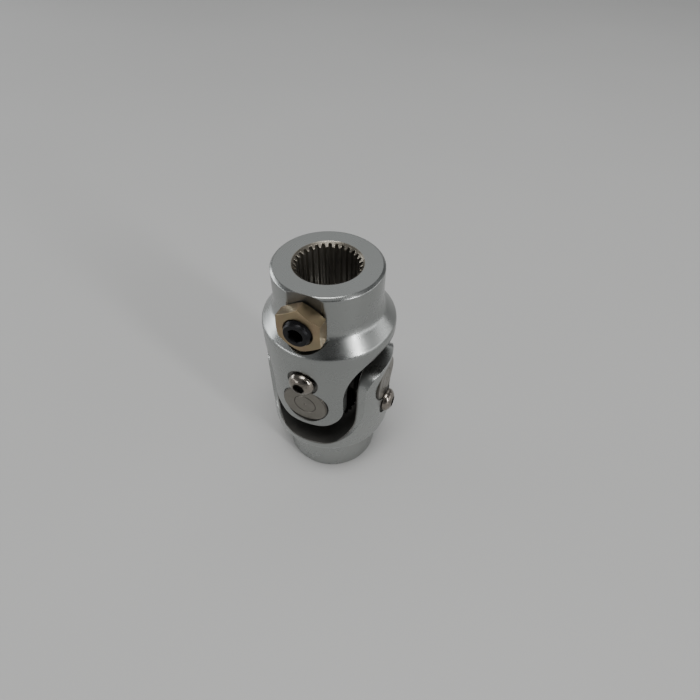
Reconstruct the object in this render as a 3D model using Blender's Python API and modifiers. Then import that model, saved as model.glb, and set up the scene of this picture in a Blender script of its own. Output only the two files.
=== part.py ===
"""Needle-bearing steering universal joint, standing on its lower hub.

Frame: metres, +Z up, origin at the centre of the lower hub's end face.  The two
yokes are the same forging, the lower one turned over and a quarter turn round Z.
The upper yoke's ears lie on the Y axis and the lower yoke's ears on the X axis,
with both trunnion axes crossing at the joint centre.
"""

import math

import bmesh
import bpy
from mathutils import Matrix, Vector

MM = 0.001

# ---- overall sizes -------------------------------------------------------------
OVERALL_LENGTH = 79.4 * MM      # hub end to hub end, the joint straight
BODY_RADIUS = 20.1 * MM         # outside of the fork
HUB_RADIUS = 15.875 * MM        # 1-1/4 in hub
HUB_LENGTH = 12.8 * MM          # straight part of the hub
SHOULDER_LENGTH = 5.4 * MM      # cone from the hub out to the body
HUB_CHAMFER = 0.8 * MM
SHOULDER_ROUND = 0.9 * MM       # softened edge where the cone meets the body
HUB_FILLET = 1.6 * MM           # hollow fillet where the cone meets the hub

# ---- splined bore --------------------------------------------------------------
BORE_MAJOR_RADIUS = 9.525 * MM  # 3/4 in
SPLINE_DEPTH = 0.80 * MM
SPLINE_TEETH = 30
BORE_CHAMFER = 0.5 * MM

# ---- fork ----------------------------------------------------------------------
EAR_SIDE_WALL = 4.2 * MM        # ear beside the cup
EAR_TIP_WALL = 1.6 * MM         # ear past the cup, at its tip
EAR_TIP_ROUND = 7.0 * MM
FORK_SIDE_GAP = 2.35 * MM       # ear's flank to the other yoke's ear face, joint straight
FORK_WEB = 2.9 * MM             # floor of the fork to the shoulder's lower edge
FORK_FLOOR_ROUND = 9.0 * MM
FLARE_START = 3.0 * MM          # height above the trunnion axis where the flank flares
FLARE_REACH = 1.4 * MM          # how far past the body the flare would run
FLARE_RISE_GAP = 0.2 * MM       # flare top stays this far under the fork floor

# ---- bearing stack, measured out along each trunnion ---------------------------
CUP_RADIUS = 7.2 * MM
CUP_WALL = 1.2 * MM
CUP_FLOOR = 1.5 * MM
CUP_CHAMFER = 0.45 * MM
CUP_SINK = 0.6 * MM             # cup face below the crown of the ear
CUP_OVERHANG = 1.35 * MM        # open end past the ear's inner face
CUP_RING_RADIUS = 3.50 * MM     # line turned into the cup face
CUP_RING_WIDTH = 0.35 * MM
CUP_RING_DEPTH = 0.12 * MM
CUP_CENTRE_RADIUS = 0.5 * MM
NEEDLE_SPACE = 1.4 * MM         # radial, trunnion to the cup's inside
TRUNNION_CHAMFER = 0.5 * MM
PAD_THICKNESS = 0.45 * MM
PAD_MARGIN = 0.6 * MM
SEAL_THICKNESS = 0.8 * MM
SEAL_LIP = 0.5 * MM
ROLLER_COUNT = 12
SPIDER_SHOULDER_STEP = 2.0 * MM  # cross's shoulder past the trunnion, also its half height
SPIDER_BLOCK_STEP = 1.4 * MM    # middle block's half width past the shoulder's radius
SPIDER_BEVEL = 1.6 * MM

# ---- fasteners -----------------------------------------------------------------
KEEPER_REACH = 3.3 * MM         # screw axis past the cup's rim
KEEPER_SHANK_RADIUS = 2.0 * MM
KEEPER_HEAD_RADIUS = 3.95 * MM
KEEPER_HEAD_HEIGHT = 2.90 * MM
KEEPER_SOCKET_FLATS = 3.175 * MM
KEEPER_SOCKET_DEPTH = 1.5 * MM
KEEPER_LENGTH = 4.4 * MM        # shank under the head
SPOTFACE_MARGIN = 0.85 * MM
SPOTFACE_DROP = 0.4 * MM        # spot-face below the cup face, so the head bears on the cup
SET_SCREW_RADIUS = 3.97 * MM    # 5/16 in
SET_SCREW_FROM_END = 9.3 * MM   # screw axis below the hub's end face
SET_SCREW_PROUD = 1.5 * MM      # past the nut's outer face
SET_SCREW_BACK = 0.4 * MM       # point held back outside the spline's major circle
SET_SCREW_SOCKET_FLATS = 3.97 * MM
SET_SCREW_SOCKET_DEPTH = 4.0 * MM
SET_SCREW_CHAMFER = 0.6 * MM
NUT_FLATS = 12.7 * MM           # 1/2 in across flats
NUT_THICKNESS = 4.4 * MM
NUT_CHAMFER = 0.55 * MM
FLAT_DEPTH = 0.875 * MM         # milled into the hub under the nut
FLAT_POCKET_MARGIN = 0.85 * MM  # round the nut's corners

# ---- clearances ----------------------------------------------------------------
SEAT_GAP = 0.28 * MM            # between pieces that rest on each other
PRESS_GAP = 0.25 * MM           # radial, round pressed or threaded pieces
RUN_GAP = 0.10 * MM             # radial, trunnion to rollers

STEPS = 48                      # facets round the yokes
SMALL_STEPS = 24                # facets round the bearing pieces

# ---- places that follow from the sizes -----------------------------------------
JOINT_Z = OVERALL_LENGTH / 2
HUB_END = OVERALL_LENGTH / 2                    # from the joint centre
BODY_EDGE = HUB_END - HUB_LENGTH - SHOULDER_LENGTH
FORK_DEPTH = BODY_EDGE - FORK_WEB               # from the trunnion axis
EAR_HALF_WIDTH = CUP_RADIUS + EAR_SIDE_WALL
EAR_TIP = CUP_RADIUS + EAR_TIP_WALL             # from the trunnion axis
EAR_INNER = EAR_HALF_WIDTH + FORK_SIDE_GAP      # from the shaft axis
TRUNNION_RADIUS = CUP_RADIUS - CUP_WALL - NEEDLE_SPACE
SPIDER_SHOULDER_RADIUS = TRUNNION_RADIUS + SPIDER_SHOULDER_STEP
SPIDER_BLOCK = SPIDER_SHOULDER_RADIUS + SPIDER_BLOCK_STEP
KEEPER_OFFSET = CUP_RADIUS + KEEPER_REACH       # above the trunnion axis
CUP_BORE_RADIUS = CUP_RADIUS + PRESS_GAP
CUP_FACE = BODY_RADIUS - CUP_SINK
CUP_OPEN_END = EAR_INNER - CUP_OVERHANG
CUP_INSIDE = CUP_FACE - CUP_FLOOR
PAD_OUTER = CUP_INSIDE - SEAT_GAP
PAD_INNER = PAD_OUTER - PAD_THICKNESS
TRUNNION_END = PAD_INNER - SEAT_GAP
SPIDER_SHOULDER = CUP_OPEN_END - SEAL_THICKNESS - 2 * SEAT_GAP
FLAT_RADIUS = HUB_RADIUS - FLAT_DEPTH
NUT_INNER = FLAT_RADIUS + SEAT_GAP
NUT_OUTER = NUT_INNER + NUT_THICKNESS
SET_SCREW_Z = HUB_END - SET_SCREW_FROM_END      # from the joint centre
SET_SCREW_INNER = BORE_MAJOR_RADIUS + SET_SCREW_BACK
SET_SCREW_OUTER = NUT_OUTER + SET_SCREW_PROUD
SET_SCREW_HOLE = SET_SCREW_RADIUS + PRESS_GAP
KEEPER_SEAT = CUP_FACE + SEAT_GAP
KEEPER_HOLE = KEEPER_SHANK_RADIUS + PRESS_GAP
SPOTFACE_RADIUS = KEEPER_HEAD_RADIUS + SPOTFACE_MARGIN
SPOTFACE = CUP_FACE - SPOTFACE_DROP
FAR = 2 * OVERALL_LENGTH


# ---- scene ---------------------------------------------------------------------
for old in list(bpy.data.objects):
    bpy.data.objects.remove(old, do_unlink=True)

PARTS = bpy.data.collections.new("universal_joint_shaft")
CUTTERS = bpy.data.collections.new("cutters")
bpy.context.scene.collection.children.link(PARTS)
bpy.context.scene.collection.children.link(CUTTERS)


def material(name, colour, metallic, roughness):
    """A plain Principled material."""
    mat = bpy.data.materials.new(name)
    mat.use_nodes = True
    shader = mat.node_tree.nodes["Principled BSDF"]
    shader.inputs["Base Color"].default_value = (*colour, 1.0)
    shader.inputs["Metallic"].default_value = metallic
    shader.inputs["Roughness"].default_value = roughness
    mat.diffuse_color = (*colour, 1.0)
    return mat


def new_object(name, bm, collection):
    """Put a bmesh into a named object in a collection."""
    bmesh.ops.recalc_face_normals(bm, faces=bm.faces)
    mesh = bpy.data.meshes.new(name)
    bm.to_mesh(mesh)
    bm.free()
    obj = bpy.data.objects.new(name, mesh)
    collection.objects.link(obj)
    if collection is CUTTERS:
        obj.hide_render = True
        obj.display_type = "WIRE"
    return obj


def profile_object(name, points, steps, collection, closed=True):
    """Turn an (r, z) profile round Z with a Screw modifier."""
    bm = bmesh.new()
    verts = [bm.verts.new((r, 0.0, z)) for r, z in points]
    for a, b in zip(verts, verts[1:]):
        bm.edges.new((a, b))
    if closed:
        bm.edges.new((verts[-1], verts[0]))
    mesh = bpy.data.meshes.new(name)
    bm.to_mesh(mesh)
    bm.free()
    obj = bpy.data.objects.new(name, mesh)
    collection.objects.link(obj)
    screw = obj.modifiers.new("turned", "SCREW")
    screw.axis = "Z"
    screw.angle = math.tau
    screw.steps = steps
    screw.render_steps = steps
    screw.use_merge_vertices = True
    screw.merge_threshold = 0.00001
    screw.use_normal_calculate = True
    if collection is CUTTERS:
        obj.hide_render = True
        obj.display_type = "WIRE"
    return obj


def prism(name, outline, low, high, collection):
    """Extrude a closed (x, y) outline between two heights."""
    bm = bmesh.new()
    bottom = [bm.verts.new((x, y, low)) for x, y in outline]
    top = [bm.verts.new((x, y, high)) for x, y in outline]
    bm.faces.new(bottom[::-1])
    bm.faces.new(top)
    count = len(outline)
    for i in range(count):
        j = (i + 1) % count
        bm.faces.new((bottom[i], bottom[j], top[j], top[i]))
    return new_object(name, bm, collection)


def circle(radius, steps, start=0.0, sweep=math.tau):
    """Points round a circle."""
    return [(radius * math.cos(start + sweep * i / steps),
             radius * math.sin(start + sweep * i / steps)) for i in range(steps)]


def hexagon(flats, start=0.0):
    """Corners of a hexagon from its width across flats."""
    return circle(flats / math.sqrt(3.0), 6, start)


def lay(obj, centre, direction):
    """Point an object's Z axis along a direction, with its origin at a centre."""
    turn = Vector(direction).to_track_quat("Z", "Y").to_matrix().to_4x4()
    obj.matrix_world = Matrix.Translation(Vector(centre)) @ turn
    return obj


def boolean(obj, cutter, operation="DIFFERENCE"):
    """Add an exact Boolean modifier."""
    mod = obj.modifiers.new(cutter.name, "BOOLEAN")
    mod.operation = operation
    mod.solver = "EXACT"
    mod.object = cutter


def apply_modifiers(obj):
    """Replace an object's mesh with its evaluated mesh."""
    bpy.context.view_layer.update()
    graph = bpy.context.evaluated_depsgraph_get()
    mesh = bpy.data.meshes.new_from_object(obj.evaluated_get(graph))
    obj.modifiers.clear()
    obj.data = mesh
    mesh.name = obj.name


def clean(obj):
    """Join doubled points and drop slivers left by the Booleans.

    Faces become triangles first, so that a face with a hole in it can't fold over.
    """
    bm = bmesh.new()
    bm.from_mesh(obj.data)
    bmesh.ops.triangulate(bm, faces=bm.faces, ngon_method="EAR_CLIP")
    bmesh.ops.remove_doubles(bm, verts=bm.verts, dist=0.000002)
    bmesh.ops.dissolve_degenerate(bm, dist=0.000002, edges=bm.edges)
    bm.to_mesh(obj.data)
    bm.free()


def smooth(obj, mat, angle=0.6):
    """Give a piece its material and smooth shading with sharp creases kept."""
    obj.data.materials.clear()
    obj.data.materials.append(mat)
    obj.data.shade_smooth()
    obj.data.set_sharp_from_angle(angle=angle)


def arc(centre, radius, start, end, count):
    """Points along an arc, both ends included; angles in radians."""
    return [(centre[0] + radius * math.cos(start + (end - start) * i / count),
             centre[1] + radius * math.sin(start + (end - start) * i / count))
            for i in range(count + 1)]


# ---- cutters for one yoke ------------------------------------------------------
# The yoke is modelled about the joint centre with its hub up and its ears on Y.

def spline_outline():
    """Bore outline: narrow teeth standing in from the major circle."""
    points = []
    minor = BORE_MAJOR_RADIUS - SPLINE_DEPTH
    pitch = math.tau / SPLINE_TEETH
    for tooth in range(SPLINE_TEETH):
        base = tooth * pitch
        for share, radius in ((0.00, BORE_MAJOR_RADIUS), (0.42, BORE_MAJOR_RADIUS),
                              (0.58, minor), (0.84, minor)):
            angle = base + share * pitch
            points.append((radius * math.cos(angle), radius * math.sin(angle)))
    return points


def ear_outline():
    """Outline of the ears seen along Y: rounded tip, straight flank, flare to the body."""
    x_round = EAR_HALF_WIDTH - EAR_TIP_ROUND
    z_round = -EAR_TIP + EAR_TIP_ROUND
    right = arc((x_round, z_round), EAR_TIP_ROUND, -math.pi / 2, 0.0, 7)
    flare_x = BODY_RADIUS + FLARE_REACH - EAR_HALF_WIDTH
    flare_z = FORK_DEPTH - FLARE_RISE_GAP - FLARE_START
    for i in range(10):
        angle = (math.pi / 2) * i / 9
        right.append((EAR_HALF_WIDTH + flare_x * (1 - math.cos(angle)),
                      FLARE_START + flare_z * math.sin(angle)))
    right.append((FAR, right[-1][1]))
    right.append((FAR, FAR))
    left = [(-x, z) for x, z in reversed(right)]
    return right + left


def fork_outline():
    """Outline of the slot between the ears seen along X: a deep U, open at the tips."""
    side = arc((EAR_INNER - FORK_FLOOR_ROUND, FORK_DEPTH - FORK_FLOOR_ROUND),
               FORK_FLOOR_ROUND, 0.0, math.pi / 2, 8)
    right = [(EAR_INNER, -FAR)] + side
    left = [(-y, z) for y, z in reversed(right)]
    return right + left


def yoke_blank():
    """Turned blank: bored hub, hollow fillet, cone, rounded shoulder, body."""
    slope = math.atan2(BODY_RADIUS - HUB_RADIUS, SHOULDER_LENGTH)
    hub_base = BODY_EDGE + SHOULDER_LENGTH
    points = [(BODY_RADIUS, -EAR_TIP - 2 * MM)]
    # rounded shoulder edge, tangent to the body and to the cone
    reach = SHOULDER_ROUND * math.tan(slope / 2)
    centre = (BODY_RADIUS - SHOULDER_ROUND, BODY_EDGE - reach)
    points += arc(centre, SHOULDER_ROUND, 0.0, slope, 3)
    # hollow fillet at the hub, tangent to the cone and to the hub
    reach = HUB_FILLET * math.tan(slope / 2)
    centre = (HUB_RADIUS + HUB_FILLET, hub_base + reach)
    points += arc(centre, HUB_FILLET, math.pi + slope, math.pi, 3)
    points += [(HUB_RADIUS, HUB_END - HUB_CHAMFER), (HUB_RADIUS - HUB_CHAMFER, HUB_END)]
    inner = BORE_MAJOR_RADIUS - 2 * SPLINE_DEPTH
    points += [(inner, HUB_END), (inner, -EAR_TIP - 2 * MM)]
    return points


def make_yoke(name):
    """One yoke about the joint centre: hub up, ears on Y, set screw on -Y."""
    yoke = profile_object(name, yoke_blank(), STEPS, PARTS)
    keep = prism(name + "_ear_shape", ear_outline(), -FAR, FAR, CUTTERS)
    keep.matrix_world = Matrix(((1, 0, 0, 0), (0, 0, -1, 0), (0, 1, 0, 0), (0, 0, 0, 1)))
    boolean(yoke, keep, "INTERSECT")
    slot = prism(name + "_slot", fork_outline(), -FAR, FAR, CUTTERS)
    slot.matrix_world = Matrix(((0, 0, 1, 0), (1, 0, 0, 0), (0, 1, 0, 0), (0, 0, 0, 1)))
    boolean(yoke, slot)
    bore = prism(name + "_bore", spline_outline(), FORK_DEPTH - FORK_FLOOR_ROUND, FAR, CUTTERS)
    boolean(yoke, bore)
    mouth_low = BORE_MAJOR_RADIUS - SPLINE_DEPTH - BORE_CHAMFER
    mouth_high = BORE_MAJOR_RADIUS + BORE_CHAMFER
    drop = mouth_high - mouth_low
    mouth = profile_object(name + "_mouth", [(0, HUB_END - drop), (mouth_low, HUB_END - drop),
                                             (mouth_high, HUB_END), (mouth_high, HUB_END + MM),
                                             (0, HUB_END + MM)], STEPS, CUTTERS, closed=False)
    boolean(yoke, mouth)
    cups = prism(name + "_cup_bores", circle(CUP_BORE_RADIUS, SMALL_STEPS), -FAR, FAR, CUTTERS)
    boolean(yoke, lay(cups, (0, 0, 0), (0, 1, 0)))
    for side in (-1, 1):
        tag = "front" if side < 0 else "back"
        face = prism(f"{name}_spotface_{tag}", circle(SPOTFACE_RADIUS, SMALL_STEPS),
                     SPOTFACE, FAR, CUTTERS)
        boolean(yoke, lay(face, (0, 0, KEEPER_OFFSET), (0, side, 0)))
        hole = prism(f"{name}_keeper_hole_{tag}", circle(KEEPER_HOLE, SMALL_STEPS),
                     EAR_INNER / 2, FAR, CUTTERS)
        boolean(yoke, lay(hole, (0, 0, KEEPER_OFFSET), (0, side, 0)))
    pocket_radius = NUT_FLATS / math.sqrt(3.0) + FLAT_POCKET_MARGIN
    # the flat runs from the hub's end down past the nut, with a round lower end
    flat = circle(pocket_radius, 12, math.pi, math.pi)
    flat += [(pocket_radius, 0), (pocket_radius, FAR), (-pocket_radius, FAR)]
    flat_cut = prism(name + "_flat", flat, FLAT_RADIUS, FAR, CUTTERS)
    flat_cut.matrix_world = Matrix(((1, 0, 0, 0), (0, 0, -1, 0), (0, 1, 0, SET_SCREW_Z),
                                    (0, 0, 0, 1)))
    boolean(yoke, flat_cut)
    tapped = prism(name + "_set_screw_hole", circle(SET_SCREW_HOLE, SMALL_STEPS), 0.0, FAR, CUTTERS)
    boolean(yoke, lay(tapped, (0, 0, SET_SCREW_Z), (0, -1, 0)))
    apply_modifiers(yoke)
    clean(yoke)
    return yoke


def fit(obj, frame, parent, mat, angle=0.6):
    """Shade a finished piece, put it in its frame and hang it on its parent."""
    smooth(obj, mat, angle)
    obj.matrix_world = frame @ obj.matrix_world
    if parent is not None:
        obj.parent = parent
        obj.matrix_parent_inverse = parent.matrix_world.inverted()
    bpy.context.view_layer.update()
    return obj


def turned(name, points):
    """A finished turned piece about Z whose profile starts and ends on the axis."""
    obj = profile_object(name, points, SMALL_STEPS, PARTS, closed=False)
    apply_modifiers(obj)
    outward(obj)
    return obj


def turned_ring(name, points):
    """A finished turned ring about Z from a closed profile."""
    obj = profile_object(name, points, SMALL_STEPS, PARTS)
    apply_modifiers(obj)
    outward(obj)
    return obj


def outward(obj):
    """Turn all faces outward."""
    bm = bmesh.new()
    bm.from_mesh(obj.data)
    bmesh.ops.recalc_face_normals(bm, faces=bm.faces)
    bm.to_mesh(obj.data)
    bm.free()


# ---- bearing pieces, each about its own trunnion axis (local Z, outward) --------

def make_spider(name):
    """The cross: a bevelled block with two double-ended turned arms through it."""
    size = (2 * SPIDER_BLOCK, 2 * SPIDER_BLOCK, 2 * SPIDER_SHOULDER_RADIUS)
    bm = bmesh.new()
    bmesh.ops.create_cube(bm, size=1.0, matrix=Matrix.Diagonal((*size, 1.0)))
    block = new_object(name, bm, PARTS)
    bevel = block.modifiers.new("bevel", "BEVEL")
    bevel.width = SPIDER_BEVEL
    bevel.segments = 3
    half = [(0, TRUNNION_END), (TRUNNION_RADIUS - TRUNNION_CHAMFER, TRUNNION_END),
            (TRUNNION_RADIUS, TRUNNION_END - TRUNNION_CHAMFER),
            (TRUNNION_RADIUS, SPIDER_SHOULDER),
            (SPIDER_SHOULDER_RADIUS - SPIDER_BEVEL / 4, SPIDER_SHOULDER),
            (SPIDER_SHOULDER_RADIUS - SPIDER_BEVEL / 8, SPIDER_SHOULDER - SPIDER_BEVEL / 4)]
    both = half + [(r, -z) for r, z in reversed(half)]
    for axis in ((1, 0, 0), (0, 1, 0)):
        tag = "x" if axis[0] else "y"
        arms = profile_object(f"{name}_arms_{tag}", both, SMALL_STEPS, CUTTERS, closed=False)
        boolean(block, lay(arms, (0, 0, 0), axis), "UNION")
    apply_modifiers(block)
    clean(block)
    return block


def make_cup(name):
    """Bearing cup: closed outer face with a turned line and a centre dot."""
    ring_in = CUP_RING_RADIUS - CUP_RING_WIDTH / 2
    ring_out = CUP_RING_RADIUS + CUP_RING_WIDTH / 2
    inside = CUP_RADIUS - CUP_WALL
    return turned(name, [
        (0, CUP_FACE - CUP_CENTRE_RADIUS / 2), (CUP_CENTRE_RADIUS, CUP_FACE),
        (ring_in, CUP_FACE), (ring_in, CUP_FACE - CUP_RING_DEPTH),
        (ring_out, CUP_FACE - CUP_RING_DEPTH), (ring_out, CUP_FACE),
        (CUP_RADIUS - CUP_CHAMFER, CUP_FACE), (CUP_RADIUS, CUP_FACE - CUP_CHAMFER),
        (CUP_RADIUS, CUP_OPEN_END), (inside, CUP_OPEN_END),
        (inside, CUP_INSIDE), (0, CUP_INSIDE)])


def make_rollers(name):
    """Full ring of needle rollers as one scalloped sleeve."""
    low = CUP_OPEN_END + SEAT_GAP
    high = PAD_INNER - SEAT_GAP
    inner = TRUNNION_RADIUS + RUN_GAP
    outer = CUP_RADIUS - CUP_WALL - PRESS_GAP
    dip = (outer - inner) / 4
    loops = []
    for radius, sign in ((outer, -1), (inner, 1)):
        loop = []
        for i in range(ROLLER_COUNT * 4):
            share = (1 - math.cos(math.tau * i / 4)) / 2
            reach = radius + sign * dip * share
            angle = math.tau * i / (ROLLER_COUNT * 4)
            loop.append((reach * math.cos(angle), reach * math.sin(angle)))
        loops.append(loop)
    bm = bmesh.new()
    rings = [[bm.verts.new((x, y, z)) for x, y in loop]
             for loop, z in ((loops[0], low), (loops[0], high), (loops[1], high), (loops[1], low))]
    count = ROLLER_COUNT * 4
    for k in range(4):
        here = rings[k]
        there = rings[(k + 1) % 4]
        for i in range(count):
            j = (i + 1) % count
            bm.faces.new((here[i], here[j], there[j], there[i]))
    return new_object(name, bm, PARTS)


def make_pad(name):
    """Thrust pad between the trunnion's end and the cup's floor."""
    radius = CUP_RADIUS - CUP_WALL - PAD_MARGIN
    edge = PAD_THICKNESS / 4
    return turned(name, [(0, PAD_OUTER), (radius - edge, PAD_OUTER), (radius, PAD_OUTER - edge),
                         (radius, PAD_INNER + edge), (radius - edge, PAD_INNER), (0, PAD_INNER)])


def make_seal(name):
    """Rubber seal ring between the cross's shoulder and the cup's open end."""
    low = SPIDER_SHOULDER + SEAT_GAP
    high = CUP_OPEN_END - SEAT_GAP
    inner = TRUNNION_RADIUS + PRESS_GAP
    outer = CUP_RADIUS - SEAL_LIP
    lip = (high - low) / 3
    return turned_ring(name, [(inner, high), (outer - lip, high), (outer, high - lip),
                              (outer, low + lip), (outer - lip, low), (inner, low)])


# ---- fasteners, each about its own axis (local Z, outward) -----------------------

def make_keeper(name):
    """Button-head screw whose head laps over the bearing cup's rim."""
    top = KEEPER_SEAT + KEEPER_HEAD_HEIGHT
    rim = KEEPER_SEAT + KEEPER_HEAD_HEIGHT / 6
    crown = [(KEEPER_HEAD_RADIUS * math.cos(a), rim + (top - rim) * math.sin(a))
             for a in [math.pi / 2 * (5 - i) / 5 for i in range(6)]]
    crown[0] = (0, top)
    tip = KEEPER_SEAT - KEEPER_LENGTH
    edge = KEEPER_SHANK_RADIUS / 5
    screw = turned(name, crown + [
        (KEEPER_HEAD_RADIUS, KEEPER_SEAT), (KEEPER_SHANK_RADIUS, KEEPER_SEAT),
        (KEEPER_SHANK_RADIUS, tip + edge), (KEEPER_SHANK_RADIUS - edge, tip), (0, tip)])
    socket = prism(name + "_socket", hexagon(KEEPER_SOCKET_FLATS),
                   top - KEEPER_SOCKET_DEPTH, FAR, CUTTERS)
    boolean(screw, socket)
    apply_modifiers(screw)
    clean(screw)
    return screw


def make_set_screw(name):
    """Socket set screw with a cup point."""
    edge = SET_SCREW_CHAMFER
    point = SET_SCREW_RADIUS / 2
    screw = turned(name, [
        (0, SET_SCREW_OUTER), (SET_SCREW_RADIUS - edge, SET_SCREW_OUTER),
        (SET_SCREW_RADIUS, SET_SCREW_OUTER - edge), (SET_SCREW_RADIUS, SET_SCREW_INNER + edge),
        (SET_SCREW_RADIUS - edge, SET_SCREW_INNER), (point, SET_SCREW_INNER),
        (0, SET_SCREW_INNER + point / 2)])
    socket = prism(name + "_socket", hexagon(SET_SCREW_SOCKET_FLATS, math.pi / 6),
                   SET_SCREW_OUTER - SET_SCREW_SOCKET_DEPTH, FAR, CUTTERS)
    boolean(screw, socket)
    apply_modifiers(screw)
    clean(screw)
    return screw


def make_nut(name):
    """Thin hex nut, both faces chamfered, two corners along the shaft."""
    corner = NUT_FLATS / math.sqrt(3.0)
    face = NUT_FLATS / 2 - NUT_CHAMFER / 3
    nut = prism(name, hexagon(NUT_FLATS, math.pi / 2), NUT_INNER, NUT_OUTER, PARTS)
    far = corner + MM
    drop = NUT_CHAMFER * (far - face) / (corner - face)
    dome = profile_object(name + "_chamfer", [
        (0, NUT_OUTER), (face, NUT_OUTER), (far, NUT_OUTER - drop),
        (far, NUT_INNER + drop), (face, NUT_INNER), (0, NUT_INNER)],
        SMALL_STEPS, CUTTERS, closed=False)
    boolean(nut, dome, "INTERSECT")
    hole = prism(name + "_hole", circle(SET_SCREW_HOLE, SMALL_STEPS), 0.0, FAR, CUTTERS)
    boolean(nut, hole)
    apply_modifiers(nut)
    clean(nut)
    return nut


# ---- assembly --------------------------------------------------------------------

def along(direction, lift=0.0):
    """Frame whose Z points along a direction, its origin lifted up the shaft axis."""
    z = Vector(direction)
    y = Vector((0, 0, 1))
    x = y.cross(z)
    turn = Matrix((x, y, z)).transposed().to_4x4()
    return Matrix.Translation((0, 0, lift)) @ turn


UPPER = Matrix.Translation((0, 0, JOINT_Z))
LOWER = (Matrix.Translation((0, 0, JOINT_Z)) @ Matrix.Rotation(-math.pi / 2, 4, "Z")
         @ Matrix.Rotation(math.pi, 4, "Y"))

upper_yoke = make_yoke("upper_yoke")
fit(upper_yoke, UPPER, None, material("upper_yoke_chromed_steel", (0.60, 0.61, 0.62), 1.0, 0.18))
lower_yoke = make_yoke("lower_yoke")
fit(lower_yoke, LOWER, None, material("lower_yoke_chromed_steel", (0.58, 0.59, 0.60), 1.0, 0.20))

spider = make_spider("cross_spider")
fit(spider, UPPER, lower_yoke, material("cross_forged_steel", (0.10, 0.10, 0.10), 1.0, 0.42), 0.5)
upper_yoke.parent = spider
upper_yoke.matrix_parent_inverse = spider.matrix_world.inverted()
bpy.context.view_layer.update()

for level, frame, yoke, sides in (("upper", UPPER, upper_yoke, (("front", -1), ("back", 1))),
                                  ("lower", LOWER, lower_yoke, (("left", -1), ("right", 1)))):
    for side, sign in sides:
        tag = f"{level}_{side}"
        arm = frame @ along((0, sign, 0))
        keeper = frame @ along((0, sign, 0), KEEPER_OFFSET)
        fit(make_cup("bearing_cup_" + tag), arm, yoke,
            material("cup_satin_steel_" + tag, (0.33, 0.31, 0.28), 1.0, 0.38))
        fit(make_rollers("needle_rollers_" + tag), arm, yoke,
            material("roller_steel_" + tag, (0.55, 0.55, 0.56), 1.0, 0.22))
        fit(make_pad("thrust_pad_" + tag), arm, yoke,
            material("thrust_pad_plastic_" + tag, (0.70, 0.66, 0.52), 0.0, 0.50))
        fit(make_seal("seal_" + tag), arm, spider,
            material("seal_rubber_" + tag, (0.02, 0.02, 0.02), 0.0, 0.70))
        fit(make_keeper("keeper_screw_" + tag), keeper, yoke,
            material("keeper_screw_steel_" + tag, (0.42, 0.41, 0.40), 1.0, 0.24))
    clamp = frame @ along((0, -1, 0), SET_SCREW_Z)
    fit(make_set_screw("set_screw_" + level), clamp, yoke,
        material("set_screw_black_oxide_" + level, (0.02, 0.02, 0.022), 1.0, 0.40))
    fit(make_nut("jam_nut_" + level), clamp, yoke,
        material("jam_nut_yellow_zinc_" + level, (0.42, 0.33, 0.20), 1.0, 0.36))
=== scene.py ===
"""Looks for the steering universal joint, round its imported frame.

Sizes in the shapes below are in millimetres and become metres when a mesh is
made.  Shader coordinates and lights are in metres.  Each yoke is shaped about
the joint centre with its hub up, its ears on Y and its set screw on -Y, then
turned into place.
"""

import math

import bpy
import numpy as np
from mathutils import Matrix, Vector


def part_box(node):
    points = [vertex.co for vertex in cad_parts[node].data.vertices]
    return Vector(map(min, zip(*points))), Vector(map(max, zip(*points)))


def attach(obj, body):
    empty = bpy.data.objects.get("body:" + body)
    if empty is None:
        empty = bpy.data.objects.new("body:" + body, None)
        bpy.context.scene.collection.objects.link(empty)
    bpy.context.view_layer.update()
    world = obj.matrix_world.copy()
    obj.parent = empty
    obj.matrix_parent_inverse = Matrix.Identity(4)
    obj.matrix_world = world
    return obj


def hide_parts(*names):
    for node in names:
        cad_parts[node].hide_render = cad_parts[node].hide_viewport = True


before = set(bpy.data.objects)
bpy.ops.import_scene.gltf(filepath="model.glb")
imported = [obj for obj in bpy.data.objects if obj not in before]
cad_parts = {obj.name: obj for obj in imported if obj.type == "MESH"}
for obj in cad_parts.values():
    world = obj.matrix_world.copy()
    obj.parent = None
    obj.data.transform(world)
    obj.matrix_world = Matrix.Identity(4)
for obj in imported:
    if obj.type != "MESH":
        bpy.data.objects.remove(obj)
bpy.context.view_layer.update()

MM = 0.001       # metres in a millimetre
M = 1000.0       # millimetres in a metre


def reach(node, axis):
    """Lowest and highest place of a CAD node along an axis, in millimetres."""
    low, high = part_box(node)
    return round(low[axis] / MM, 3), round(high[axis] / MM, 3)


# ---- sizes, in millimetres, from the CAD nodes ------------------------------------
X, Y, Z = 0, 1, 2
LENGTH = reach("upper_yoke", Z)[1]
JOINT = LENGTH / 2
BODY_R = reach("upper_yoke", X)[1]
CUP_FACE = -reach("bearing_cup_upper_front", Y)[0]
CUP_OPEN = -reach("bearing_cup_upper_front", Y)[1]
CUP_R = reach("bearing_cup_upper_front", X)[1] + 0.08
CUP_BORE = CUP_R + 0.17
KEEPER_UP = round(sum(reach("keeper_screw_upper_front", Z)) / 2 - JOINT, 3)
KEEPER_R = reach("keeper_screw_upper_front", X)[1]
SCREW_UP = round(sum(reach("set_screw_upper", Z)) / 2 - JOINT, 3)
SCREW_R = reach("set_screw_upper", X)[1]
SCREW_OUT = -reach("set_screw_upper", Y)[0]
SCREW_IN = -reach("set_screw_upper", Y)[1]
NUT_OUT = -reach("jam_nut_upper", Y)[0]
NUT_IN = -reach("jam_nut_upper", Y)[1]
NUT_AF = 2 * reach("jam_nut_upper", X)[1]

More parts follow.
